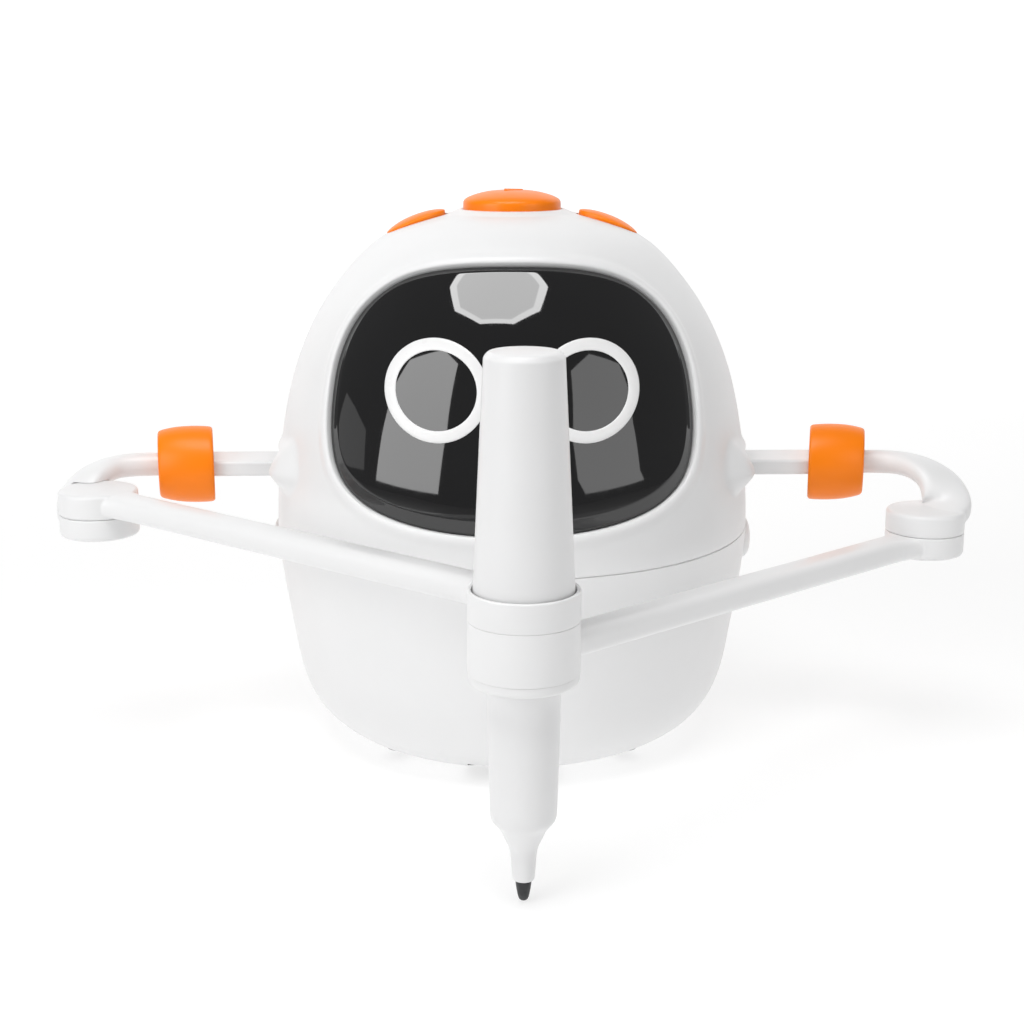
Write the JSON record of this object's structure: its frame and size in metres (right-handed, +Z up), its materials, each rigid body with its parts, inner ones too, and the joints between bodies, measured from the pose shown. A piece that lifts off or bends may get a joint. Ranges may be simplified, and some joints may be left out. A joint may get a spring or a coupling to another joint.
{
  "type": "desktop drawing robot with two jointed arms",
  "caption": "Egg-shaped desktop robot with a glossy face and two jointed arms that meet at a collar and move an upright marker over paper.",
  "frame": {"origin": "centre of the body on the plane of the feet", "axes": "+Z up, the face and the pen look along -Y, the arms reach out along X"},
  "size_m": [0.2499, 0.1959, 0.1514],
  "materials": {
    "white_shell": "fine satin moulded ABS",
    "white_arm": "smooth satin moulded plastic",
    "orange_plastic": "smooth semi-gloss plastic",
    "orange_rubber": "soft-touch elastomer",
    "black_lens": "high-gloss smoked acrylic",
    "light_ring": "opal light guide",
    "black_plastic": "matt moulded plastic",
    "grey_plastic": "matt moulded plastic",
    "servo_case": "moulded nylon",
    "pcb": "solder mask",
    "steel": "zinc plated",
    "brass": "turned",
    "feet_rubber": "matt silicone",
    "cell_wrap": "shrink-wrapped cells",
    "pen_white": "polished polypropylene",
    "nib_felt": "pressed felt"
  },
  "bodies": {
    "root": {"head_shell": "white_shell", "base_shell": "white_shell", "bottom_cover": "white_shell", "rubber_feet": "feet_rubber", "cover_screws": "steel", "frame_screws": "steel", "left_side_cap": "white_shell", "right_side_cap": "white_shell", "visor_lens": "black_lens", "visor_bezel": "black_plastic", "left_eye_ring": "light_ring", "right_eye_ring": "light_ring", "face_board": "pcb", "left_eye_light_tube": "black_plastic", "right_eye_light_tube": "black_plastic", "button_board": "pcb", "main_frame": "grey_plastic", "guide_rods": "steel", "rod_tie": "grey_plastic", "main_board": "pcb", "battery_tray": "black_plastic", "battery_cells": "cell_wrap", "speaker": "black_plastic", "charging_port": "steel", "power_switch_body": "black_plastic", "card_reader_window": "black_lens", "lift_servo": "servo_case"},
    "arm_carriage": {"carriage_plate": "grey_plastic", "guide_bushes": "brass", "left_shoulder_servo": "servo_case", "right_shoulder_servo": "servo_case", "servo_screws": "steel"},
    "lift_cam": {"lift_cam": "grey_plastic", "lift_servo_shaft": "steel"},
    "left_upper_arm": {"left_servo_shaft": "steel", "left_hub_screw": "steel", "left_shoulder_bar": "white_arm", "left_arm_cuff": "orange_rubber", "left_upper_arm": "white_arm", "left_elbow_pin": "steel"},
    "right_upper_arm": {"right_servo_shaft": "steel", "right_hub_screw": "steel", "right_shoulder_bar": "white_arm", "right_arm_cuff": "orange_rubber", "right_upper_arm": "white_arm", "right_elbow_pin": "steel"},
    "left_forearm": {"left_forearm": "white_arm", "pen_sleeve": "white_arm", "retaining_ring": "white_arm"},
    "right_forearm": {"right_forearm": "white_arm"},
    "pen": {"pen_grip": "pen_white", "pen_barrel": "pen_white", "pen_nib": "nib_felt", "ink_reservoir": "nib_felt"},
    "start_button": {"start_button": "orange_plastic"},
    "left_button": {"left_button": "orange_plastic"},
    "right_button": {"right_button": "orange_plastic"},
    "power_switch": {"power_switch_knob": "black_plastic"}
  },
  "joints": [
    {"name": "carriage_lift", "type": "slide", "parent": "root", "child": "arm_carriage", "axis": [0, 0, 1], "range_m": [0, 0.004]},
    {"name": "lift_cam_turn", "type": "hinge", "parent": "root", "child": "lift_cam", "pos_m": [0, -0.007, 0.054], "axis": [0, 1, 0], "range_deg": [0, 180.5]},
    {"name": "left_shoulder", "type": "hinge", "parent": "arm_carriage", "child": "left_upper_arm", "pos_m": [-0.04, -0.002, 0.0764], "axis": [0, 0, 1], "range_deg": [-4, 20]},
    {"name": "right_shoulder", "type": "hinge", "parent": "arm_carriage", "child": "right_upper_arm", "pos_m": [0.04, -0.002, 0.0764], "axis": [0, 0, 1], "range_deg": [-20.01, 4.01]},
    {"name": "left_elbow", "type": "hinge", "parent": "left_upper_arm", "child": "left_forearm", "pos_m": [-0.11065, -0.02543, 0.0675], "axis": [0, 0, 1], "range_deg": [-26.25, 5.26]},
    {"name": "right_elbow", "type": "hinge", "parent": "right_upper_arm", "child": "right_forearm", "pos_m": [0.11198, -0.02095, 0.0615], "axis": [0, 0, 1], "range_deg": [-5.23, 26.12]},
    {"name": "pen_lift_out", "type": "slide", "parent": "left_forearm", "child": "pen", "axis": [0, 0, 1], "range_m": [0, 0.055]},
    {"name": "start_button_press", "type": "slide", "parent": "root", "child": "start_button", "axis": [0, 0, -1], "range_m": [0, 0.0012], "stiffness_N_per_m": 400, "springref_m": -0.001},
    {"name": "right_button_press", "type": "slide", "parent": "root", "child": "right_button", "axis": [-0.3338, 0, -0.9426], "range_m": [0, 0.001], "stiffness_N_per_m": 300, "springref_m": -0.001},
    {"name": "left_button_press", "type": "slide", "parent": "root", "child": "left_button", "axis": [0.3338, 0, -0.9426], "range_m": [0, 0.001], "stiffness_N_per_m": 300, "springref_m": -0.001},
    {"name": "power_switch_slide", "type": "slide", "parent": "root", "child": "power_switch", "axis": [1, 0, 0], "range_m": [0, 0.003]}
  ],
  "couplings": [
    {"joint": "lift_cam_turn", "follows": "carriage_lift", "rad_per_m": 785},
    {"joint": "right_shoulder", "follows": "left_shoulder", "ratio": -1},
    {"joint": "left_elbow", "follows": "left_shoulder", "ratio": -1.3121},
    {"joint": "right_elbow", "follows": "left_shoulder", "ratio": 1.3055}
  ]
}
